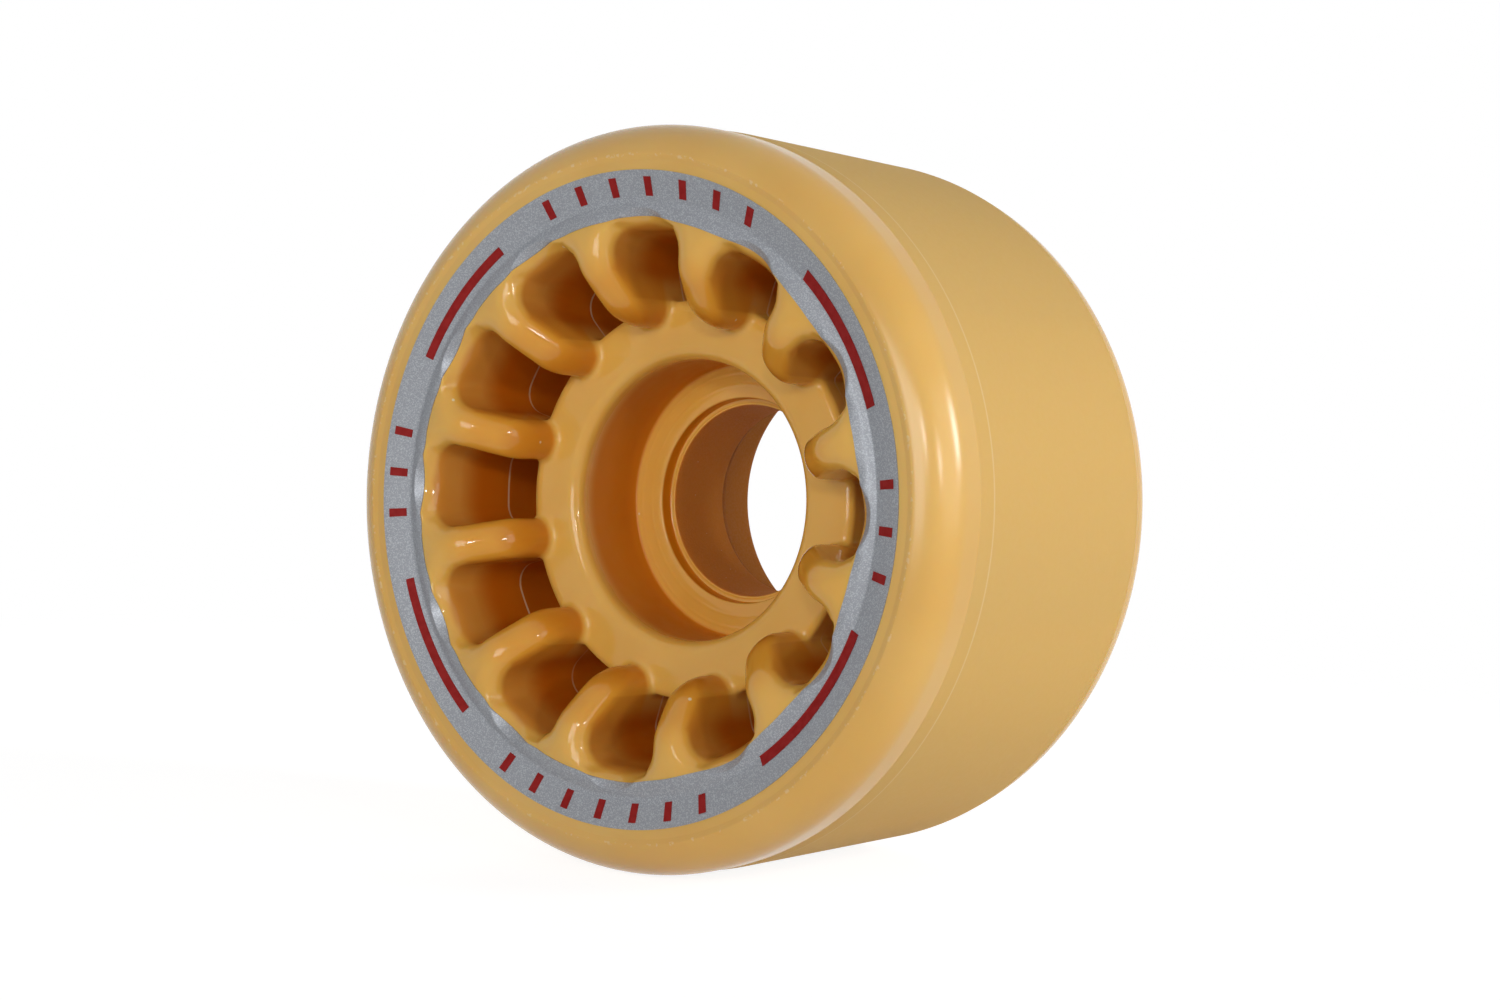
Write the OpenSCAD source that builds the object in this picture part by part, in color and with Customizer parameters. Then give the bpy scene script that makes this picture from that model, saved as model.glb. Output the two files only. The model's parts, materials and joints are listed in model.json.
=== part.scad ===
// Quad roller skate wheel: a polyurethane tyre cast on a ribbed hub with two bearing seats.
// The wheel turns about the Y axis, and its printed front face looks along -Y.
// Profiles are drawn as (radius, height): height is measured from mid width towards the front.

/* [Tyre] */
// Tread diameter
tread_d = 57; // [53:0.5:66]
// Overall width across the two shoulders
wheel_w = 32; // [30:0.5:40]
// Width of the ground running surface
ground_w = 19; // [10:0.5:21]
// Width of the tapered band at each edge of the running surface
band_w = 1.8; // [0.5:0.1:3]
// Radius lost across the tapered band
band_drop = 0.1; // [0.05:0.05:0.5]
// Radius of the rounded shoulder
shoulder_r = 3.3; // [2.5:0.1:3.8]
// Radial thickness of the tyre, from its joint with the hub to the tread
tyre_t = 6.1; // [5:0.1:7.5]
// Depth of the crease where tyre and hub meet, below the shoulder's crest
crease_depth = 1; // [0.4:0.1:1.5]
// How far the flat of the side face lies below the shoulder's crest
flat_drop = 0.15; // [0.1:0.05:0.3]
// Width of the bare flat between the printed band and the groove
flat_w = 0.65; // [0.2:0.05:1]
// Width of the groove inside the shoulder
groove_w = 0.5; // [0.2:0.1:0.6]
// Depth of that groove below the flat
groove_depth = 0.15; // [0.05:0.05:0.3]

/* [Hub] */
// Radial thickness of the rim between the tyre joint and the pockets
rim_t = 2.4; // [2.2:0.1:3]
// Width of the bead beside the crease, to its crest
bead_w = 1.3; // [0.8:0.1:1.5]
// Height of the bead above the crease
bead_rise = 0.5; // [0.2:0.1:0.8]
// Number of ribs, and of pockets, on each side
rib_n = 12; // [8:1:14]
// Rib thickness
rib_t = 3.2; // [2:0.1:3.4]
// Height of a front rib's ridge above the boss, at its nose
nose_h = 4; // [3:0.1:4.5]
// Slope of that ridge, from the nose up to the rim
ridge_pitch = 41; // [35:1:50]
// Radius of the bend where the ridge drops to the nose
nose_round = 1.6; // [0.5:0.1:2]
// How far the ribs' ridges lie below the bead where they meet the rim
rib_sink = 0.1; // [0.1:0.1:1]
// How far a nose stands in over the front of the boss
nose_reach = 1.8; // [1.4:0.05:2]
// Thickness of the web between the front and the rear pockets
web_t = 3; // [2:0.5:5]

/* [Bearing seats] */
// Length of the boss, whose rear is level with the tyre's side
boss_l = 24; // [21:0.5:26]
// Boss wall around a bearing seat
boss_t = 4.55; // [3.5:0.05:5]
// Seat diameter, for a bearing 22 mm across
seat_d = 22; // [19:0.1:23]
// Seat depth, for a bearing 7 mm wide set a little below the boss
seat_depth = 7.6; // [6:0.1:8]
// Radius of the rounded mouth of a seat
mouth_r = 1; // [0.4:0.1:1.2]
// Bore of the land between the seats
land_d = 15.4; // [12:0.1:16]
// Diameter of the step at each end of the land
step_d = 16.5; // [16.1:0.1:18]
// Depth of that step
step_depth = 0.6; // [0.2:0.1:1]

/* [Print] */
// Thickness of an ink film
ink_t = 0.06; // [0.04:0.01:0.1]
// Gap between the crease and the red marks
mark_gap = 0.4; // [0.3:0.05:0.6]
// Width of a red bar
bar_w = 0.6; // [0.4:0.1:1]
// Angle that a red bar spans
bar_span = 29; // [15:1:40]
// Angle of a bar's middle, above or below the level line through the axle
bar_at = 36; // [30:1:45]
// Turn of the whole print against the pockets
print_turn = -2; // [-15:1:15]
// Radial length of a red tick
tick_l = 1.4; // [0.6:0.1:1.6]
// Angle that a red tick spans
tick_span = 1.6; // [0.8:0.1:3]
// Angle between neighbouring ticks
tick_pitch = 8; // [5:0.5:9]
// Number of ticks in the groups above and below the axle
long_group = 7; // [3:2:9]
// Number of ticks in the groups beside the axle
short_group = 3; // [1:2:3]

/* [Hidden] */
$fn = 96;
amber = [0.80, 0.58, 0.29];
hub_amber = [0.77, 0.55, 0.25];
silver = [0.63, 0.64, 0.67];
red = [0.53, 0.09, 0.08];
// Steps in a rounded edge, and across a rib's round top
arc_steps = 10;
ridge_steps = 8;
// How far a cutting outline runs past what it cuts
past = 1;
// How much rounder a nose is than half a rib
nose_ease = 0.05;

half_w = wheel_w / 2;
tread_r = tread_d / 2;
edge_r = tread_r - band_drop;
joint_r = tread_r - tyre_t;
joint_h = half_w - crease_depth;

// The ridge beside the groove is the shoulder's crest: its radius past the shoulder's centre
ridge_in = groove_w * 1.5;
shoulder_at = [edge_r - shoulder_r, half_w - sqrt(shoulder_r * shoulder_r - ridge_in * ridge_in)];
groove_r = shoulder_at.x + ridge_in - groove_w / 2;
flat_h = half_w - flat_drop;
print_out_r = groove_r - groove_w / 2 - flat_w;

rim_in_r = joint_r - rim_t;
bead_r = joint_r - bead_w;
bead_h = joint_h + bead_rise;

seat_r = seat_d / 2;
boss_r = seat_r + boss_t;
boss_h = boss_l - half_w;
nose_r = boss_r - nose_reach;
front_floor = boss_h - seat_depth;
rear_floor = seat_depth - half_w;
rib_angle = 360 / rib_n;

// Points on an arc, turning from one angle to another
function arc(centre, r, from, to, steps = arc_steps) =
    [for (i = [0:steps]) let (a = from + (to - from) * i / steps) centre + r * [cos(a), sin(a)]];
// The same outline on the rear half, in the opposite order
function to_rear(points) = [for (i = [len(points) - 1:-1:0]) [points[i].x, -points[i].y]];
// Height of the tyre's printed slope at a radius
function slope_h(r) = joint_h + (flat_h - joint_h) * (r - joint_r) / (print_out_r - joint_r);

// Turns a profile about the wheel's axle, with the front along -Y
module about_axle() {
    rotate([90, 0, 0])
        children();
}

module tyre() {
    groove_edge = acos(ridge_in / shoulder_r);
    front = concat(
        [[joint_r, joint_h], [print_out_r, flat_h]],
        [[groove_r - groove_w / 2, flat_h], [groove_r, flat_h - groove_depth]],
        arc(shoulder_at, shoulder_r, groove_edge, 0),
        [[edge_r, ground_w / 2 + band_w], [tread_r, ground_w / 2]]
    );
    color(amber)
        about_axle()
            rotate_extrude()
                polygon(concat(front, to_rear(front)));
}

// The turned body of the hub: boss with its seats and land, web and rim
module hub_body() {
    front_mouth = arc([seat_r + mouth_r, boss_h - mouth_r], mouth_r, 180, 90);
    rear_mouth = arc([seat_r + mouth_r, mouth_r - half_w], mouth_r, 270, 180);
    rotate_extrude()
        polygon(concat(
            [[land_d / 2, front_floor - step_depth], [step_d / 2, front_floor - step_depth]],
            [[step_d / 2, front_floor], [seat_r, front_floor]],
            front_mouth,
            [[boss_r, boss_h], [boss_r, web_t / 2], [rim_in_r, web_t / 2]],
            [[rim_in_r, bead_h], [bead_r, bead_h], [joint_r, joint_h]],
            [[joint_r, -joint_h], [bead_r, -bead_h], [rim_in_r, -bead_h]],
            [[rim_in_r, -web_t / 2], [boss_r, -web_t / 2], [boss_r, -half_w]],
            rear_mouth,
            [[seat_r, rear_floor], [step_d / 2, rear_floor]],
            [[step_d / 2, rear_floor + step_depth], [land_d / 2, rear_floor + step_depth]]
        ));
}

// A bar with a round top, whose ridge runs from one (radius, height) point to another
module round_bar(from, to, thick = rib_t) {
    run = to - from;
    top = arc([0, -thick / 2], thick / 2, 0, 180, ridge_steps);
    translate([from.x, 0, from.y])
        rotate([0, -atan2(run.y, run.x), 0])
            rotate([90, 0, 90])
                linear_extrude(norm(run))
                    polygon(concat(top, [[-thick / 2, -wheel_w], [thick / 2, -wheel_w]]));
}

// A plate along a rib, cut to an outline of (radius, height) points
module rib_plate(outline) {
    rotate([90, 0, 0])
        linear_extrude(rib_t + 2 * past, center = true)
            polygon(outline);
}

// A front rib: level beside the rim, it slopes down to a round nose that stands on the boss
module front_rib() {
    nose_top = [nose_r, boss_h + nose_h];
    crest_h = bead_h - rib_sink;
    up = [cos(ridge_pitch), sin(ridge_pitch)];
    tip_r = rib_t / 2 + nose_ease;
    rooted = rim_in_r + rim_t / 4;
    bend_at = [nose_r - nose_ease + nose_round, nose_top.y - nose_round * tan(45 - ridge_pitch / 2)];
    intersection() {
        round_bar(nose_top - up * half_w, nose_top + up * half_w);
        round_bar([nose_r - past, crest_h], [rooted, crest_h], 2 * tip_r);
        rib_plate(concat(
            [[rooted + past, web_t / 4], [nose_r - nose_ease, web_t / 4]],
            arc(bend_at, nose_round, 180, 90 + ridge_pitch),
            [[rooted + past, wheel_w]]
        ));
        linear_extrude(wheel_w)
            polygon(concat(
                arc([nose_r + tip_r, 0], tip_r, 90, 270),
                [[joint_r, -tip_r], [joint_r, tip_r]]
            ));
    }
}

// A rear rib: it runs level from the boss to the rim
module rear_rib() {
    ridge_h = bead_h - rib_sink;
    rooted = [boss_r - boss_t / 4, rim_in_r + rim_t / 4];
    intersection() {
        mirror([0, 0, 1])
            round_bar([rooted[0] - past, ridge_h], [rooted[1] + past, ridge_h]);
        rib_plate([[rooted[0], -web_t / 4], [rooted[1], -web_t / 4], [rooted[1], -wheel_w],
            [rooted[0], -wheel_w]]);
    }
}

module hub() {
    color(hub_amber)
        about_axle() {
            hub_body();
            for (i = [0:rib_n - 1])
                rotate((i + 0.5) * rib_angle) {
                    front_rib();
                    rear_rib();
                }
        }
}

module print_ring() {
    under = [[bead_r, bead_h], [joint_r, joint_h], [print_out_r, flat_h]];
    over = [for (i = [len(under) - 1:-1:0]) under[i] + [0, ink_t]];
    color(silver)
        about_axle()
            rotate_extrude()
                polygon(concat(under, over));
}

// A red mark on the silver of the tyre's slope, centred on an angle
module mark(r_in, r_out, span) {
    under = [[r_in, slope_h(r_in) + ink_t], [r_out, slope_h(r_out) + ink_t]];
    rotate(-span / 2)
        rotate_extrude(angle = span)
            polygon([under[0], under[1], under[1] + [0, ink_t], under[0] + [0, ink_t]]);
}

module print_bars() {
    r_in = joint_r + mark_gap;
    color(red)
        about_axle()
            for (side = [0, 180], up = [-1, 1])
                rotate(print_turn + side + up * bar_at)
                    mark(r_in, r_in + bar_w, bar_span);
}

module print_ticks() {
    r_in = joint_r + mark_gap;
    color(red)
        about_axle()
            for (group = [0:3]) {
                count = group % 2 == 0 ? short_group : long_group;
                for (i = [0:count - 1])
                    rotate(print_turn + group * 90 + (i - (count - 1) / 2) * tick_pitch)
                        mark(r_in, r_in + tick_l, tick_span);
            }
}

tyre();
hub();
print_ring();
print_bars();
print_ticks();
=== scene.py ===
"""A quad roller skate wheel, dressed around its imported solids.

Sizes are in millimetres until a mesh is made. A profile point is (radius, height).
Height runs from mid width towards the printed front face, which looks along -Y.
"""
import json
import math

import bpy
import numpy as np
from mathutils import Matrix, Vector


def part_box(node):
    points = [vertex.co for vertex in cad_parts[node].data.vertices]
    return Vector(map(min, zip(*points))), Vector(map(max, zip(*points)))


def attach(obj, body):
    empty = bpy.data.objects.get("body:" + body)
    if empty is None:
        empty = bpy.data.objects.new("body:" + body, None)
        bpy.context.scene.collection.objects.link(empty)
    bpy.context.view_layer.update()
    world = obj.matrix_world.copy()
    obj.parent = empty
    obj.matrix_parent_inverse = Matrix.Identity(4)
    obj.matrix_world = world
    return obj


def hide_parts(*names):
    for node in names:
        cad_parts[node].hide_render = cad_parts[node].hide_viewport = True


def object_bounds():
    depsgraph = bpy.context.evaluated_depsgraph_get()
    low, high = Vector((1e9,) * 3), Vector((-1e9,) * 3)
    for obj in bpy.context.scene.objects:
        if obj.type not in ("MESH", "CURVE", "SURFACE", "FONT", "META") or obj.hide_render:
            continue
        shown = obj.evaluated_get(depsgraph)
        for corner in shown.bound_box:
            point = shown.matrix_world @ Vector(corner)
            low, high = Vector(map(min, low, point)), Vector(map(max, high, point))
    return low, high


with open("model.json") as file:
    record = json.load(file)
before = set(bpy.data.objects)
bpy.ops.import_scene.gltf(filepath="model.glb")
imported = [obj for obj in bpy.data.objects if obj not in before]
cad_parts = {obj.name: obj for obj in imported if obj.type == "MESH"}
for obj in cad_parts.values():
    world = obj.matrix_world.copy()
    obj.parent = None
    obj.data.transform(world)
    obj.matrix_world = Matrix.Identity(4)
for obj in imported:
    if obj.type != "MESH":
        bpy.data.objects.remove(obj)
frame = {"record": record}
cad_low, cad_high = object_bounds()

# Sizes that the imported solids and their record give
MM = 0.001
MOUNTS = {m["name"]: m for m in frame["record"]["mounts"]}


def wall_of(name):
    """(radius, lowest height, highest height) of a bore's wall."""
    mount = MOUNTS[name]
    middle = -mount["pos_m"][1] / MM
    half = mount["dims"]["length_mm"] / 2
    return mount["dims"]["r_mm"], middle - half, middle + half


TREAD_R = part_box("tyre")[1].x / MM
HALF_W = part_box("tyre")[1].y / MM
JOINT_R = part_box("hub")[1].x / MM
PRINT_OUT_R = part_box("print_ring")[1].x / MM
SEAT_R, FRONT_FLOOR, FRONT_WALL_TOP = wall_of("front_bearing_seat")
REAR_WALL_TOP, REAR_FLOOR = wall_of("rear_bearing_seat")[1:]
LAND_R, LAND_REAR, LAND_FRONT = wall_of("spacer_bore")

# Tyre
GROUND_HALF = 9.3
BAND_HALF = 11.0
REAR_GROUND = 12.5
EDGE_R = TREAD_R - 0.1
SHOULDER_R = 3.3
SHOULDER_AT = (EDGE_R - SHOULDER_R, HALF_W - 3.22)
# Angle left out of the shoulder's arc beside the ridge, in degrees
SHOULDER_GAP = 4
CREASE_H = HALF_W - 1.0
FLAT_H = HALF_W - 0.15
VALLEY = (25.42, HALF_W - 0.165)
RIDGE = (25.85, HALF_W - 0.02)

# Print
PRINT_IN_R = 21.1
PRINT_POCKET_R = 21.35
INK_T = 0.06
# Each red bar: degrees to its middle, degrees that it spans, gap outside the joint, width
BARS = (
    (-36.8, 32, -0.1, 0.8),
    (33.8, 28, 0.08, 0.9),
    (140.2, 28, 0.43, 0.64),
    (214.4, 30, 0.43, 0.64),
)
TICK_R = JOINT_R + 0.4
TICK_TURN = -2
TICK_L = 1.4
TICK_SPAN = 1.6
TICK_PITCH = 8
TICK_GROUPS = (3, 7, 3, 7)

# Hub
RIM_IN_R = JOINT_R - 2.4
BEAD_SLOPE = 0.385
BEAD_ROUND = 2.2
RIB_N = 12
RIB_STEP = 2 * math.pi / RIB_N
RIB_T = 3.2
NOSE_R = 13.75
RIDGE_R = 16.9
RIDGE_H = 14.7
RIDGE_PITCH = math.radians(40.7)
RIDGE_BOW = 0.04
POCKET_CORNER = 2.0
RIB_FILLET = 0.4
POCKET_RIM = JOINT_R - 0.43
POCKET_SLOPE = math.radians(38)
POCKET_EDGE = 0.7
RIM_SOFT = 2
RIM_CRISP = 0.02
SCALLOP_HALF = 5.46
SCALLOP_RISE = 0.169
ROOT_HALF = 3.2
ROOT_RISE = 1.3
RIM_DRAFT = 0.08
WEB_HALF = 1.5
WEB_FILLET = 1.0
BOSS_R = SEAT_R + 4.55
MOUTH_R = 1.0
BOSS_H = FRONT_WALL_TOP + MOUTH_R
REAR_H = REAR_WALL_TOP - MOUTH_R
BOSS_EDGE = 0.5
STEP_R = 8.25
LIP_DROP = 0.55
LIP_UP = 0.1
FLOOR_RINGS = (10.3, 9.3)
FLOOR_RING_HALF = 0.2
FLOOR_RING_UP = 0.025
REAR_RIB_H = HALF_W - 0.7
REAR_EDGE = 0.6
REAR_ROUND = 0.3
WITNESS_H = 6.2

# Mesh fineness
TURNS = 336
SPLIT_R = 13.0
CELLS_R = 25
# With this height the hub's faces at the joint and the boss lie inside a cell, not on its edge
CELL_H = 0.375
SETTLE_STEPS = 6
HALVINGS = 40
ARC_STEP = 0.18
SHOULDER_STEPS = 26
TYRE_STEP = 1.0
BORE_STEP = 1.2
MARK_ROWS = 9
RING_ROWS_HUB = 22
RING_ROWS_TYRE = 12
SHARP = math.radians(50)


def unit(vector):
    return vector / np.linalg.norm(vector)


def rounded(corners):
    """Points of an open outline with rounded corners. Each corner is (radius, height, fillet)."""
    points = []
    spots = np.array([c[:2] for c in corners], float)
    last = len(corners) - 1
    for i, corner in enumerate(corners):
        fillet = corner[2]
        before = unit(spots[max(i, 1)] - spots[max(i, 1) - 1])
        after = unit(spots[min(i, last - 1) + 1] - spots[min(i, last - 1)])
        turn = math.atan2(before[0] * after[1] - before[1] * after[0], before @ after)
        if fillet == 0 or abs(turn) < 1e-6:
            points.append(spots[i])
            continue
        cut = fillet * math.tan(abs(turn) / 2)
        start = spots[i] - before * cut
        centre = start + np.array([-before[1], before[0]]) * math.copysign(fillet, turn)
        spoke = start - centre
        across = np.array([-spoke[1], spoke[0]])
        steps = max(2, math.ceil(abs(turn) * fillet / ARC_STEP))
        for k in range(steps + 1):
            angle = turn * k / steps
            points.append(centre + spoke * math.cos(angle) + across * math.sin(angle))
    return np.array(points)


def spread(points, longest):
    """The same outline with its long straight stretches cut into shorter ones."""
    more = [points[0]]
    for start, end in zip(points, points[1:]):
        steps = max(1, math.ceil(np.linalg.norm(end - start) / longest))
        for k in range(1, steps + 1):
            share = k / steps
            more.append(start * (1 - share) + end * share)
    return np.array(more)


def around(profile, angles):
    """Profile points turned to each angle, as an array of rows by angles by (x, y, z)."""
    r, h = profile[:, :1], profile[:, 1:]
    flat = np.ones_like(angles)
    return np.stack([r * np.cos(angles), -h * flat, r * np.sin(angles)], -1)


def strips(rows, count, closed_rows=False):
    """Quads between rows of vertex numbers, closed around the wheel."""
    first = rows if closed_rows else rows[:-1]
    second = np.roll(rows, -1, 0) if closed_rows else rows[1:]
    onward = np.roll(np.arange(count), -1)
    return np.stack([first, second, second[:, onward], first[:, onward]], -1).reshape(-1, 4)


def add_mesh(name, points, faces, material):
    """A smooth mesh object from points in millimetres."""
    mesh = bpy.data.meshes.new(name)
    mesh.from_pydata((points * MM).tolist(), [], faces.tolist())
    mesh.polygons.foreach_set("use_smooth", np.ones(len(mesh.polygons), bool))
    mesh.validate()
    mesh.set_sharp_from_angle(angle=SHARP)
    mesh.materials.append(material)
    piece = bpy.data.objects.new(name, mesh)
    bpy.context.scene.collection.objects.link(piece)
    return piece


def dress(piece, node):
    """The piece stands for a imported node, on the wheel's one body."""
    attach(piece, "root")
    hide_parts(node)


# Materials
class Look:
    """A material, built up around its Principled shader one node at a time."""

    def __init__(self, name, **values):
        self.material = bpy.data.materials.new(name)
        self.material.use_nodes = True
        self.tree = self.material.node_tree
        self.shader = self.tree.nodes["Principled BSDF"]
        for socket, value in values.items():
            self.shader.inputs[socket.replace("_", " ")].default_value = value
        self.place = self.add("TexCoord").outputs["Object"]

    def add(self, kind, inputs=(), **settings):
        """A node with its settings, and a value or a link at each numbered or named input."""
        node = self.tree.nodes.new("ShaderNode" + kind)
        for name, value in settings.items():
            setattr(node, name, value)
        for key, value in dict(inputs).items():
            if isinstance(value, bpy.types.NodeSocket):
                self.tree.links.new(value, node.inputs[key])
            else:
                node.inputs[key].default_value = value
        return node

    def math(self, operation, *values):
        return self.add("Math", enumerate(values), operation=operation).outputs[0]

    def stretched(self, by):
        """The piece's own coordinates, multiplied along each axis."""
        return self.add("VectorMath", {0: self.place, 1: by}, operation="MULTIPLY").outputs[0]

    def height(self):
        """Height above mid width, in metres."""
        return self.math("MULTIPLY", self.add("SeparateXYZ", {0: self.place}).outputs[1], -1)

    def radius(self):
        """Distance from the axle line, in metres."""
        return self.length((1, 0, 1))

    def length(self, by):
        """Distance from the origin in metres, along the axes that are multiplied by 1."""
        return self.add("VectorMath", {0: self.stretched(by)}, operation="LENGTH").outputs["Value"]

    def noise(self, scale, detail=2, by=(1, 1, 1)):
        inputs = {"Vector": self.stretched(by), "Scale": scale, "Detail": detail}
        return self.add("TexNoise", inputs).outputs[0]

    def cells(self, scale):
        """A random grey for each small cell."""
        colour = self.add("TexVoronoi", {"Vector": self.place, "Scale": scale}).outputs["Color"]
        return self.add("SeparateColor", {0: colour}).outputs[0]

    def dust(self, scale, most):
        """Tiny dots in a few of the cells: those whose random grey is above most."""
        dots = self.add("TexVoronoi", {"Vector": self.place, "Scale": scale})
        grey = self.add("SeparateColor", {0: dots.outputs["Color"]}).outputs[0]
        chosen = self.ramp(grey, most, most + 0.01)
        return self.math("MULTIPLY", chosen, self.ramp(dots.outputs["Distance"], 0.07, 0.03))

    def apart(self, value, size):
        """How far a length lies from a size in millimetres."""
        return self.math("ABSOLUTE", self.math("SUBTRACT", value, size * MM))

    def ramp(self, value, low, high, start=0, end=1):
        """Goes smoothly from start to end while the value goes from low to high."""
        return self.add("MapRange", {0: value, 1: low, 2: high, 3: start, 4: end},
                        interpolation_type="SMOOTHSTEP").outputs[0]

    def fade(self, length, low, high, start=0, end=1):
        """The same for a length in metres, with low and high in millimetres."""
        return self.ramp(length, low * MM, high * MM, start, end)

    def blend(self, share, value, other):
        return self.add("Mix", {0: share, 2: value, 3: other}).outputs[0]

    def tint(self, share, colour, other):
        return self.add("Mix", {0: share, 6: colour, 7: other}, data_type="RGBA").outputs[2]

    def drive(self, socket, value):
        self.tree.links.new(value, self.shader.inputs[socket])

    def relief(self, height, depth):
        """Bump, where a height from 0 to 1 is worth a depth in millimetres."""
        bump = self.add("Bump", {"Height": height, "Distance": depth * MM})
        self.drive("Normal", bump.outputs[0])


AMBER = (0.70, 0.405, 0.097, 1)
AMBER_PALE = (0.73, 0.44, 0.118, 1)
GROUND_AMBER = (0.635, 0.395, 0.118, 1)
HUB_AMBER = (0.76, 0.43, 0.085, 1)
HUB_CLOUD = (0.74, 0.405, 0.072, 1)
RIB_AMBER = (0.735, 0.34, 0.037, 1)
NOSE_SHADE = (0.63, 0.235, 0.018, 1)
POCKET_SHADE = (0.46, 0.107, 0.0032, 1)
SEAT_SHADE = (0.59, 0.187, 0.005, 1)
LAND_SHADE = (0.56, 0.205, 0.022, 1)
REAR_SHADE = (0.30, 0.095, 0.004, 1)
# Colour of dust specks, also used for painted glints and painted highlight lines
DUST_AND_GLINT = (0.80, 0.68, 0.45, 1)
SILVER = (0.26, 0.273, 0.297, 1)
SILVER_FLAKE = (0.40, 0.42, 0.455, 1)
RED = (0.27, 0.008, 0.007, 1)
RED_DEEP = (0.23, 0.006, 0.005, 1)
SOFT_DEPTH = dict(
    Subsurface_Weight=0.3,
    Subsurface_Radius=(1, 0.45, 0.12),
    Subsurface_Scale=1.0 * MM,
)


def tyre_material():
    """Cast polyurethane: glossy shoulders, faint flow bands, a ground tread that is matt, and
    painted highlights on the ridge's crest and the tread's edge.
    """
    look = Look("tyre_amber", IOR=1.42, **SOFT_DEPTH)
    height = look.height()
    ground = look.math("MULTIPLY", look.fade(height, BAND_HALF + 0.03, BAND_HALF - 0.03),
                       look.fade(height, -REAR_GROUND - 0.3, -REAR_GROUND))
    # A painted highlight along the edge of the ground tread
    edge = look.fade(look.apart(height, GROUND_HALF), 0.12, 0.04, 0, 0.3)
    # Painted glints along the ridge's crest
    crest_glints = look.math("MULTIPLY", look.fade(look.apart(look.radius(), RIDGE[0]), 0.2, 0.05),
                      look.ramp(look.noise(2400, 2), 0.56, 0.66, 0, 0.35))
    flow = look.ramp(look.noise(70, 2, by=(1, 0.12, 1)), 0.38, 0.62)
    grain = look.noise(2200, 3)

    colour = look.tint(flow, AMBER, AMBER_PALE)
    worn = look.math("MULTIPLY", ground, look.ramp(flow, 0, 1, 1, 0.75))
    colour = look.tint(worn, colour, GROUND_AMBER)
    colour = look.tint(edge, colour, DUST_AND_GLINT)
    colour = look.tint(crest_glints, colour, DUST_AND_GLINT)
    look.drive("Base Color", look.tint(look.dust(350, 0.95), colour, DUST_AND_GLINT))
    gloss = look.ramp(look.noise(120, 2), 0.3, 0.7, 0.20, 0.24)
    matt = look.ramp(grain, 0.3, 0.7, 0.72, 0.82)
    look.drive("Roughness", look.blend(ground, gloss, matt))
    look.relief(look.math("MULTIPLY", grain, ground), 0.010)
    return look.material


def pocket_depth(look, radius, height):
    """How far the hub lies below the ribs' ridges and the rim, in metres."""
    start = (RIDGE_H - RIDGE_R * math.tan(RIDGE_PITCH)) * MM
    ridge = look.math("MULTIPLY_ADD", radius, math.tan(RIDGE_PITCH), start)
    top = look.math("MINIMUM", ridge, (CREASE_H + 0.4) * MM)
    return look.math("SUBTRACT", top, look.math("ABSOLUTE", height))


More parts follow.
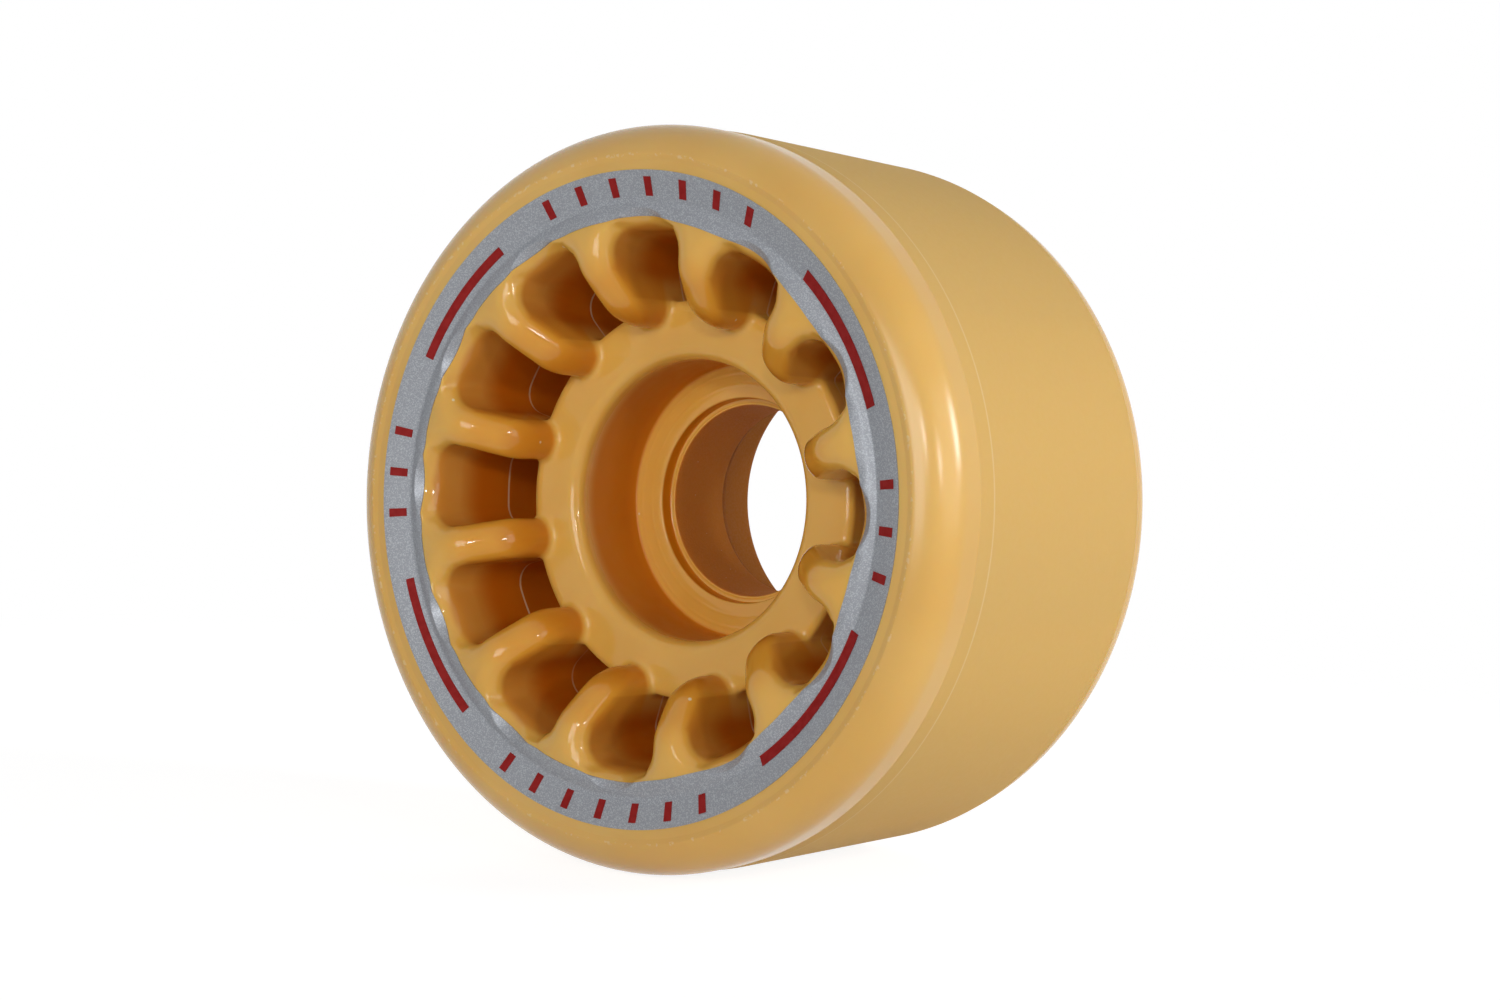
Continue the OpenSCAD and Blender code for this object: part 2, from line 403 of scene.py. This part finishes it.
def hub_material():
    """The same plastic, moulded and glossy, with a grainy bore. Painted shade darkens the pockets,
    bearing seats, bore and rib noses, and a painted highlight follows a witness line in the
    pockets.
    """
    look = Look("hub_amber", IOR=1.38, **SOFT_DEPTH)
    radius, height = look.radius(), look.height()
    grain = look.noise(5200, 3)
    ripple = look.noise(900, 2)
    cloud = look.ramp(look.noise(160, 3), 0.35, 0.65)

    # Places in the bore
    land = look.fade(radius, LAND_R + 0.08, LAND_R + 0.03)
    step = look.math("MULTIPLY", look.fade(height, FRONT_FLOOR, FRONT_FLOOR - 0.25),
                     look.fade(look.apart(radius, STEP_R), 0.1, 0.03))
    # Painted shade in the rear bearing seat and bore
    rear = look.math("MULTIPLY", look.fade(height, LAND_REAR + LIP_DROP + 0.2, LAND_REAR),
                     look.fade(radius, SEAT_R + 0.3, SEAT_R + 0.1))
    wall = look.math("MULTIPLY", look.fade(height, BOSS_H - 0.5, BOSS_H - 2.5),
                     look.fade(look.apart(radius, SEAT_R), 0.35, 0.02))
    # Painted shade for the bearing seat: its wall, the groove at the step, and a faint share over
    # the bore inside it
    seat_shade = look.fade(radius, SEAT_R - 0.05, SEAT_R - 0.2, 0, 0.14)
    seat_shade = look.math("MAXIMUM", look.math("MAXIMUM", wall, step), seat_shade)

    # Places around the boss
    outside = look.fade(radius, BOSS_R - 0.1, BOSS_R + 0.15)
    depth = pocket_depth(look, radius, height)
    # Painted shade: the pockets darken with depth below the ridges and rim, less so on the boss's
    # wall
    sunk = look.math("MAXIMUM", look.fade(depth, 0.9, 1.6, 0, 0.56), look.fade(depth, 0.5, 6.5))
    shaft = look.math("MULTIPLY", look.fade(radius, BOSS_R + 3, BOSS_R + 0.1),
                      look.fade(height, BOSS_H - 5.5, BOSS_H - 1))
    pocket_shade = look.math("MULTIPLY", sunk, outside)
    pocket_shade = look.math("MULTIPLY", pocket_shade, look.ramp(shaft, 0, 1, 1, 0.45))
    ribs = look.math("MULTIPLY", look.fade(height, BOSS_H + 0.1, BOSS_H + 0.8),
                     look.fade(radius, RIM_IN_R - 0.3, RIM_IN_R - 3.7))
    # Painted shade on the rib noses
    nose = look.fade(radius, NOSE_R + 2.0, NOSE_R + 0.2)
    # A painted highlight along a mould witness line in the pockets
    seam_highlight = look.math("MULTIPLY", look.fade(look.apart(height, WITNESS_H), 0.14, 0.04), outside)
    seam_highlight = look.math("MULTIPLY", seam_highlight, look.ramp(cloud, 0, 1, 0.15, 0.5))

    colour = look.tint(cloud, HUB_AMBER, HUB_CLOUD)
    # Painted shade in the bearing seat
    colour = look.tint(seat_shade, colour, SEAT_SHADE)
    specks = look.math("MULTIPLY", look.dust(1300, 0.6), 0.8)
    # Painted shade darkens the bore's land; the pale specks on it are dust
    colour = look.tint(land, colour, look.tint(specks, LAND_SHADE, DUST_AND_GLINT))
    # Painted shade in the rear of the bore
    colour = look.tint(rear, colour, REAR_SHADE)
    # Ribs in their own amber, with painted shade on their noses
    colour = look.tint(ribs, colour, look.tint(nose, RIB_AMBER, NOSE_SHADE))
    # Painted shade in the pockets
    colour = look.tint(pocket_shade, colour, POCKET_SHADE)
    colour = look.tint(seam_highlight, colour, DUST_AND_GLINT)
    look.drive("Base Color", look.tint(look.dust(380, 0.9), colour, DUST_AND_GLINT))
    gloss = look.ramp(look.noise(320, 4), 0.3, 0.7, 0.06, 0.10)
    soft = look.blend(wall, gloss, look.ramp(ripple, 0.3, 0.7, 0.48, 0.56))
    matt = look.ramp(grain, 0.3, 0.7, 0.7, 1)
    look.drive("Roughness", look.blend(look.math("MAXIMUM", land, rear), soft, matt))
    rough = look.math("MULTIPLY", grain, look.ramp(land, 0, 1, 0.02, 1))
    look.relief(look.math("MULTIPLY_ADD", ripple, 0.06, rough), 0.05)
    return look.material


def silver_material():
    """Metallic ink with fine flakes, brighter on the scallops that slope into the pockets."""
    look = Look("silver_ink")
    flakes = look.cells(15000)
    look.drive("Base Color", look.tint(look.ramp(flakes, 0.5, 1), SILVER, SILVER_FLAKE))
    edge = CREASE_H + BEAD_SLOPE * (JOINT_R - POCKET_RIM)
    slope = look.math("MULTIPLY", look.fade(look.radius(), POCKET_RIM + 0.05, POCKET_RIM - 0.15),
                      look.fade(look.height(), edge + 0.2, edge))
    look.drive("Metallic", look.ramp(slope, 0, 1, 0.15, 0.45))
    look.drive("Roughness", look.ramp(look.noise(400, 3), 0.3, 0.7, 0.42, 0.50))
    look.relief(flakes, 0.002)
    return look.material


def red_material():
    """Screen printed ink, a little uneven."""
    look = Look("red_ink", IOR=1.3)
    cloud = look.ramp(look.noise(1500, 4), 0.3, 0.7)
    look.drive("Base Color", look.tint(cloud, RED, RED_DEEP))
    look.drive("Roughness", look.ramp(cloud, 0, 1, 0.60, 0.72))
    look.relief(look.noise(4000, 2), 0.006)
    return look.material


tyre_look = tyre_material()
hub_look = hub_material()
silver_look = silver_material()
red_look = red_material()


# Tyre
def tyre_front():
    """Corners of the tyre's front half, from the joint with the hub out to mid width."""
    shoulder_end = math.degrees(math.acos((RIDGE[0] - SHOULDER_AT[0]) / SHOULDER_R))
    arc = [(SHOULDER_AT[0] + SHOULDER_R * math.cos(math.radians(a)),
            SHOULDER_AT[1] + SHOULDER_R * math.sin(math.radians(a)), 0)
           for a in np.linspace(shoulder_end - SHOULDER_GAP, 0, SHOULDER_STEPS)]
    return [
        (JOINT_R, CREASE_H, 0),
        (PRINT_OUT_R, FLAT_H, 1.0),
        (VALLEY[0] - 0.3, FLAT_H, 0.4),
        (VALLEY[0], VALLEY[1], 0.3),
        (RIDGE[0], RIDGE[1], 0.12),
        *arc,
        (EDGE_R, BAND_HALF, 0.6),
        (TREAD_R, GROUND_HALF, 0.6),
    ]


def make_tyre():
    front = tyre_front()
    rear = [(TREAD_R, -REAR_GROUND, 0.6)]
    rear += [(r, -h, fillet) for r, h, fillet in reversed(front[:-2])]
    points = spread(rounded(front + rear), TYRE_STEP)
    angles = np.arange(TURNS) * 2 * math.pi / TURNS
    places = around(points, angles)
    rows = np.arange(len(points) * TURNS).reshape(len(points), TURNS)
    faces = strips(rows, TURNS, closed_rows=True)
    return add_mesh("tyre_visual", places.reshape(-1, 3), faces, tyre_look)


# Hub
def round_cut(a, b, fillet):
    """Where two fields overlap, with the edge between them rounded."""
    rounding = np.hypot(np.maximum(fillet + a, 0), np.maximum(fillet + b, 0))
    return np.minimum(-fillet, np.maximum(a, b)) + rounding


def round_join(a, b, fillet):
    """Two fields together, with the corner between them filled."""
    filling = np.hypot(np.maximum(fillet - a, 0), np.maximum(fillet - b, 0))
    return np.maximum(fillet, np.minimum(a, b)) - filling


def ease(low, high, value):
    share = np.clip((value - low) / (high - low), 0, 1)
    return share * share * (3 - 2 * share)


def hub_field(x, h, z):
    """Roughly the distance to the ribbed part of the hub, negative inside it."""
    r = np.hypot(x, z)
    off = np.abs(np.arctan2(z, x) % RIB_STEP - RIB_STEP / 2)
    along, across = r * np.cos(off), r * np.sin(off)
    edge = RIB_T / 2 - (RIB_T / 2 - POCKET_EDGE) * ease(RIB_T / 2, 1.4 * RIB_T, across)
    soft = RIM_SOFT * ease(PRINT_IN_R + 0.1, PRINT_IN_R - 0.5, r) + RIM_CRISP
    rise = SCALLOP_RISE * np.maximum(SCALLOP_HALF - across, 0) ** 2
    rise = rise + ROOT_RISE * np.maximum(ROOT_HALF - across, 0) ** 3
    rim = RIM_IN_R + RIM_DRAFT * (np.abs(h) - BOSS_H) - r
    level = CREASE_H + BEAD_SLOPE * (JOINT_R - POCKET_RIM) + rise
    slant = (np.abs(h) - level - (r - POCKET_RIM) * math.tan(POCKET_SLOPE)) * math.cos(POCKET_SLOPE)
    bead = (np.abs(h) - CREASE_H - BEAD_SLOPE * (JOINT_R - r)) / math.hypot(1, BEAD_SLOPE)

    nose = np.hypot(np.maximum(NOSE_R + RIB_T / 2 - along, 0), across) - RIB_T / 2
    front_plan = round_join(rim, nose, POCKET_CORNER)
    out = r - RIDGE_R
    ridge = h - RIDGE_H - out * math.tan(RIDGE_PITCH) + RIDGE_BOW * out ** 2
    ridge = ridge * math.cos(RIDGE_PITCH)
    top = round_cut(round_cut(bead, ridge, BEAD_ROUND), slant, soft)
    front = round_cut(front_plan, top, edge)
    front_boss = round_cut(r - BOSS_R, h - BOSS_H, BOSS_EDGE)

    rear_plan = round_join(rim, across - RIB_T / 2, POCKET_CORNER)
    top = round_cut(bead, -h - REAR_RIB_H, REAR_ROUND)
    rear = round_cut(rear_plan, top, REAR_EDGE)
    rear_boss = round_cut(r - BOSS_R, REAR_H - h, BOSS_EDGE)

    front = round_join(front, front_boss, RIB_FILLET)
    rear = round_join(rear, rear_boss, RIB_FILLET)
    ribs = np.where(h > 0, front, rear)
    return round_join(ribs, np.abs(h) - WEB_HALF, WEB_FILLET)


def field_slope(x, h, z):
    """The hub field and its gradient."""
    step = 0.01
    slope = np.stack([
        hub_field(x + step, h, z) - hub_field(x - step, h, z),
        hub_field(x, h + step, z) - hub_field(x, h - step, z),
        hub_field(x, h, z + step) - hub_field(x, h, z - step)], -1) / (2 * step)
    return hub_field(x, h, z), slope


def net_vertices(values, sides):
    """The cells that the surface passes through, and the mean of its crossings in each."""
    corners = {}
    for i in (0, 1):
        for j in (0, 1):
            for k in (0, 1):
                turned = np.roll(values, -j, 1)
                corners[i, j, k] = turned[i:i + sides[0], :, k:k + sides[2]]
    inside = sum((c < 0).astype(int) for c in corners.values())
    cells = np.argwhere((inside > 0) & (inside < 8))
    taken = {key: c[tuple(cells.T)] for key, c in corners.items()}
    total = np.zeros((len(cells), 3))
    count = np.zeros(len(cells))
    for start in taken:
        for axis in range(3):
            if start[axis]:
                continue
            end = tuple(1 if a == axis else start[a] for a in range(3))
            crossed = (taken[start] < 0) != (taken[end] < 0)
            share = np.where(crossed, taken[start] / (taken[start] - taken[end] + 1e-12), 0)
            spot = np.tile(np.array(start, float), (len(cells), 1))
            spot[:, axis] = share
            total += spot * crossed[:, None]
            count += crossed
    return cells, cells + total / count[:, None]


def net_faces(values, number):
    """Quads across each grid edge that the surface crosses."""
    faces = []
    signs = values < 0
    for axis in range(3):
        ahead = np.roll(signs, -1, axis)
        crossed = signs != ahead
        places = np.argwhere(crossed)
        limits = [number.shape[0], values.shape[1], number.shape[2]]
        across = [a for a in range(3) if a != axis]
        keep = np.ones(len(places), bool)
        for a in (0, 2):
            low = 0 if a == axis else 1
            keep &= (places[:, a] >= low) & (places[:, a] < limits[a])
        places = places[keep]
        ring = []
        for da, db in ((0, 0), (1, 0), (1, 1), (0, 1)):
            cell = places.copy()
            cell[:, across[0]] -= da
            cell[:, across[1]] -= db
            cell[:, 1] %= limits[1]
            ring.append(number[tuple(cell.T)])
        faces.append(np.stack(ring, -1))
    return np.concatenate(faces)


def bore_profile():
    """The turned part of the hub, from the front of the boss through the bore to its rear."""
    rings = []
    for r in FLOOR_RINGS:
        rings += [
            (r + FLOOR_RING_HALF, FRONT_FLOOR, 0.3),
            (r, FRONT_FLOOR + FLOOR_RING_UP, 0.3),
            (r - FLOOR_RING_HALF, FRONT_FLOOR, 0.3),
        ]
    front_lip = LAND_FRONT - LIP_DROP
    rear_lip = LAND_REAR + LIP_DROP
    return rounded([
        (SPLIT_R, BOSS_H, 0),
        (SEAT_R, BOSS_H, MOUTH_R),
        (SEAT_R, FRONT_FLOOR, 0.15),
        *rings,
        (STEP_R, FRONT_FLOOR, 0.12),
        (STEP_R, front_lip, 0.1),
        (LAND_R + 0.25, front_lip, 0.1),
        (LAND_R + 0.12, front_lip + LIP_UP, 0.08),
        (LAND_R, front_lip, 0.12),
        (LAND_R, rear_lip, 0.1),
        (STEP_R, rear_lip, 0.1),
        (STEP_R, REAR_FLOOR, 0.12),
        (SEAT_R, REAR_FLOOR, 0.15),
        (SEAT_R, REAR_H, MOUTH_R),
        (SPLIT_R, REAR_H, 0),
    ])


def make_hub():
    step_r = (JOINT_R - SPLIT_R) / (CELLS_R - 1)
    step_turn = 2 * math.pi / TURNS
    below = math.ceil((CREASE_H + HALF_W + 1) / CELL_H)
    above = math.ceil((HALF_W + 1 - CREASE_H) / CELL_H)
    radii = SPLIT_R - step_r / 2 + step_r * np.arange(CELLS_R + 1)
    turns = step_turn * np.arange(TURNS)
    heights = CREASE_H + CELL_H * (np.arange(-below, above) + 0.5)
    r, turn, h = np.meshgrid(radii, turns, heights, indexing="ij")
    values = hub_field(r * np.cos(turn), h, r * np.sin(turn))
    sides = (CELLS_R, TURNS, len(heights) - 1)
    cells, spots = net_vertices(values, sides)
    number = np.full(sides, -1)
    number[tuple(cells.T)] = np.arange(len(cells))
    faces = net_faces(values, number)

    r = radii[0] + step_r * spots[:, 0]
    turn = step_turn * spots[:, 1]
    h = heights[0] + CELL_H * spots[:, 2]
    rims = (cells[:, 0] == 0) | (cells[:, 0] == CELLS_R - 1)
    r = np.where(rims, radii[cells[:, 0]] + step_r / 2, r)
    turn = np.where(rims, step_turn * (cells[:, 1] + 0.5), turn)
    x, z = r * np.cos(turn), r * np.sin(turn)
    for _ in range(SETTLE_STEPS):
        value, slope = field_slope(x, h, z)
        slope[rims, 0] = 0
        slope[rims, 2] = 0
        move = value / np.maximum((slope ** 2).sum(-1), 0.05)
        move = np.clip(move, -CELL_H / 2, CELL_H / 2)
        x, h, z = x - move * slope[:, 0], h - move * slope[:, 1], z - move * slope[:, 2]
    slope = field_slope(x, h, z)[1]
    normals = np.stack([slope[:, 0], -slope[:, 1], slope[:, 2]], -1)
    points = np.stack([x, -h, z], -1)

    edge = points[faces]
    facing = np.cross(edge[:, 2] - edge[:, 0], edge[:, 3] - edge[:, 1])
    wrong = (facing * normals[faces].sum(1)).sum(-1) < 0
    faces[wrong] = faces[wrong][:, ::-1]

    def ring(column, front):
        chosen = (cells[:, 0] == column) & ((h > 0) == front)
        order = np.argsort(cells[chosen][:, 1])
        return np.flatnonzero(chosen)[order]

    profile = spread(bore_profile(), BORE_STEP)
    angles = step_turn * (np.arange(TURNS) + 0.5)
    inner = around(profile[1:-1], angles)
    rows = len(points) + np.arange(inner.shape[0] * TURNS).reshape(-1, TURNS)
    rows = np.concatenate([[ring(0, True)], rows, [ring(0, False)]])
    bore_faces = strips(rows[::-1], TURNS)
    joint_faces = strips(np.stack([ring(CELLS_R - 1, True), ring(CELLS_R - 1, False)]), TURNS)
    points = np.concatenate([points, inner.reshape(-1, 3)])
    faces = np.concatenate([faces, bore_faces, joint_faces])
    return add_mesh("hub_visual", points, faces, hub_look)


dress(make_tyre(), "tyre")
dress(make_hub(), "hub")


# Print
def hub_top(r, angles):
    """Height of the hub's front at radii by angles."""
    x, z = r * np.cos(angles), r * np.sin(angles)
    low = np.full(x.shape, HALF_W - 5)
    high = np.full(x.shape, HALF_W + 1)
    for _ in range(HALVINGS):
        middle = (low + high) / 2
        inside = hub_field(x, middle, z) < 0
        low = np.where(inside, middle, low)
        high = np.where(inside, high, middle)
    return (low + high) / 2


# The start of the tyre's outline, where the radius still grows
TYRE_FACE = rounded(tyre_front())[:12]


def face_height(r, angles):
    """Height of the front face, hub or tyre, at radii by angles."""
    r = np.broadcast_to(r, np.broadcast(r, angles).shape)
    tyre = np.interp(r, TYRE_FACE[:, 0], TYRE_FACE[:, 1])
    return np.where(r < JOINT_R, hub_top(r, angles), tyre)


def film(radii, angles, lift, closed):
    """Points and faces of a film of ink that lies on the front face over radii by angles."""
    turn = angles[None, :]
    r = np.broadcast_to(radii, (len(radii), len(angles)))
    under = face_height(r, turn) + lift
    sheets = []
    for height in (under, under + INK_T):
        sheets.append(np.stack([r * np.cos(turn), -height, r * np.sin(turn)], -1))
    points = np.stack(sheets)
    number = np.arange(points.size // 3).reshape(points.shape[:3])
    rows, count = len(radii), len(angles)
    faces = []
    loop = [(0, i) for i in range(rows)] + [(1, i) for i in reversed(range(rows))]
    for start, end in zip(loop, loop[1:] + loop[:1]):
        a, b = number[start], number[end]
        reach = count if closed else count - 1
        for j in range(reach):
            onward = (j + 1) % count
            faces.append((a[j], a[onward], b[onward], b[j]))
    if not closed:
        for j in (0, count - 1):
            for i in range(rows - 1):
                quad = (number[0, i, j], number[0, i + 1, j], number[1, i + 1, j], number[1, i, j])
                faces.append(quad if j == 0 else quad[::-1])
    return points.reshape(-1, 3), np.array(faces)


def make_ring():
    angles = np.arange(TURNS * 2) * math.pi / TURNS
    aside = PRINT_IN_R * np.sin(np.abs(angles % RIB_STEP - RIB_STEP / 2))
    inner = PRINT_IN_R + (PRINT_POCKET_R - PRINT_IN_R) * ease(RIB_T / 2, 1.6 * RIB_T, aside)
    share = np.linspace(0, 1, RING_ROWS_HUB)[:, None]
    outer = np.linspace(JOINT_R, PRINT_OUT_R, RING_ROWS_TYRE)[1:, None]
    radii = np.concatenate([inner * (1 - share) + JOINT_R * share, outer + 0 * inner])
    points, faces = film(radii, angles, 0, True)
    return add_mesh("silver_ring", points, faces, silver_look)


def marks(name, spans):
    """Red marks: each is (angle in degrees, span in degrees, inner radius, radial length)."""
    all_points, all_faces, count = [], [], 0
    for middle, span, inner, length in spans:
        columns = max(3, round(span * 2))
        angles = np.radians(np.linspace(middle - span / 2, middle + span / 2, columns))
        radii = np.linspace(inner, inner + length, MARK_ROWS)[:, None]
        points, faces = film(radii, angles, INK_T, False)
        all_points.append(points)
        all_faces.append(faces + count)
        count += len(points)
    return add_mesh(name, np.concatenate(all_points), np.concatenate(all_faces), red_look)


dress(make_ring(), "print_ring")
dress(marks("red_bars", [
    (at, span, JOINT_R + gap, width) for at, span, gap, width in BARS
]), "print_bars")
dress(marks("red_ticks", [
    (TICK_TURN + group * 90 + (i - (count - 1) / 2) * TICK_PITCH, TICK_SPAN, TICK_R, TICK_L)
    for group, count in enumerate(TICK_GROUPS) for i in range(count)
]), "print_ticks")

# Camera
CAMERA_AT = Vector((114.876, -157.091, 6.214)) * MM
CAMERA_FORWARD = Vector((-0.58855, 0.80785, -0.03159))
CAMERA_UP = Vector((-0.06064, -0.00515, 0.99815))
camera = bpy.data.objects.new("camera", bpy.data.cameras.new("camera"))
bpy.context.scene.collection.objects.link(camera)
camera.data.sensor_width = 36
camera.data.lens = 58.2
camera.data.clip_start = 0.01
right = CAMERA_FORWARD.cross(CAMERA_UP).normalized()
upward = right.cross(CAMERA_FORWARD).normalized()
camera.matrix_world = Matrix.Translation(CAMERA_AT) @ Matrix(
    (right, upward, -CAMERA_FORWARD.normalized())).transposed().to_4x4()
bpy.context.scene.camera = camera

# Stage
FLOOR_R = 0.6
FLOOR_SIDES = 95
FLOOR_PLAIN = 0.8
WHITE_R = (0.09, 0.2)
FLOOR_GREY = 0.3
FLOOR_GLOW = 0.88
FILL = 0.05
LAMP_AWAY = 0.5


def seen_white(tree):
    """1 for the rays that meet plain white: the camera's, and those of gloss and glass."""
    path = tree.nodes.new("ShaderNodeLightPath")
    seen = path.outputs["Is Camera Ray"]
    for ray in ("Is Glossy Ray", "Is Transmission Ray"):
        either = tree.nodes.new("ShaderNodeMath")
        either.operation = "MAXIMUM"
        tree.links.new(seen, either.inputs[0])
        tree.links.new(path.outputs[ray], either.inputs[1])
        seen = either.outputs[0]
    return seen


def grey(level):
    return level, level, level, 1


def make_floor():
    """A pale round floor. The camera sees it white, with the wheel's shadow."""
    mesh = bpy.data.meshes.new("floor")
    turns = np.linspace(0, 2 * math.pi, FLOOR_SIDES + 1)[:-1]
    rim = [(FLOOR_R * math.cos(a), FLOOR_R * math.sin(a), cad_low[2]) for a in turns]
    mesh.from_pydata(rim, [], [list(range(len(rim)))])
    floor = bpy.data.objects.new("floor", mesh)
    bpy.context.scene.collection.objects.link(floor)
    look = Look("floor_white")
    look.tree.nodes.remove(look.shader)
    far = look.ramp(look.length((1, 1, 0)), *WHITE_R)
    plain = look.add("BsdfDiffuse", {"Color": grey(FLOOR_PLAIN)}).outputs[0]
    shaded = look.add("BsdfDiffuse", {"Color": grey(FLOOR_GREY)}).outputs[0]
    glow = look.add("Emission", {"Strength": FLOOR_GLOW}).outputs[0]
    white = look.add("Emission", {"Strength": 1}).outputs[0]
    near = look.add("AddShader", {0: shaded, 1: glow}).outputs[0]
    view = look.add("MixShader", {0: far, 1: near, 2: white}).outputs[0]
    both = look.add("MixShader", {0: seen_white(look.tree), 1: plain, 2: view}).outputs[0]
    look.tree.links.new(both, look.tree.nodes["Material Output"].inputs[0])
    mesh.materials.append(look.material)


def make_world():
    """A soft fill. The camera, gloss and glass see plain white."""
    world = bpy.data.worlds.new("studio")
    world.use_nodes = True
    tree = world.node_tree
    fill = tree.nodes["Background"]
    fill.inputs["Color"].default_value = grey(1)
    fill.inputs["Strength"].default_value = FILL
    white = tree.nodes.new("ShaderNodeBackground")
    white.inputs["Color"].default_value = grey(1)
    mix = tree.nodes.new("ShaderNodeMixShader")
    tree.links.new(seen_white(tree), mix.inputs[0])
    tree.links.new(fill.outputs[0], mix.inputs[1])
    tree.links.new(white.outputs[0], mix.inputs[2])
    tree.links.new(mix.outputs[0], tree.nodes["World Output"].inputs[0])
    bpy.context.scene.world = world


def lamp(name, turn, lift, size, power, gloss=True):
    """An area lamp aimed at the wheel.

    Turn runs from the front towards +X, and lift from level upwards, in degrees.
    """
    turn, lift = math.radians(turn), math.radians(lift)
    level = math.cos(lift)
    at = Vector((math.sin(turn) * level, -math.cos(turn) * level, math.sin(lift))) * LAMP_AWAY
    data = bpy.data.lights.new(name, "AREA")
    data.shape = "RECTANGLE"
    data.size, data.size_y = size
    data.energy = power
    light = bpy.data.objects.new(name, data)
    light.location = at
    light.rotation_mode = "QUATERNION"
    light.rotation_quaternion = (-at).to_track_quat("-Z", "Y")
    light.visible_glossy = gloss
    bpy.context.scene.collection.objects.link(light)


make_floor()
make_world()
lamp("side", 94, 10, (0.40, 0.35), 0.8)
lamp("glint", 117, 18, (0.11, 0.11), 0.78)
lamp("front", 14, 8, (0.25, 0.25), 1.1)
lamp("spot_front", 34, 14, (0.04, 0.03), 0.26)
lamp("spot_side", 66, 12, (0.05, 0.04), 0.27)
lamp("rear", 225, 12, (0.40, 0.40), 1.9, gloss=False)
bpy.context.scene.view_settings.view_transform = "Standard"
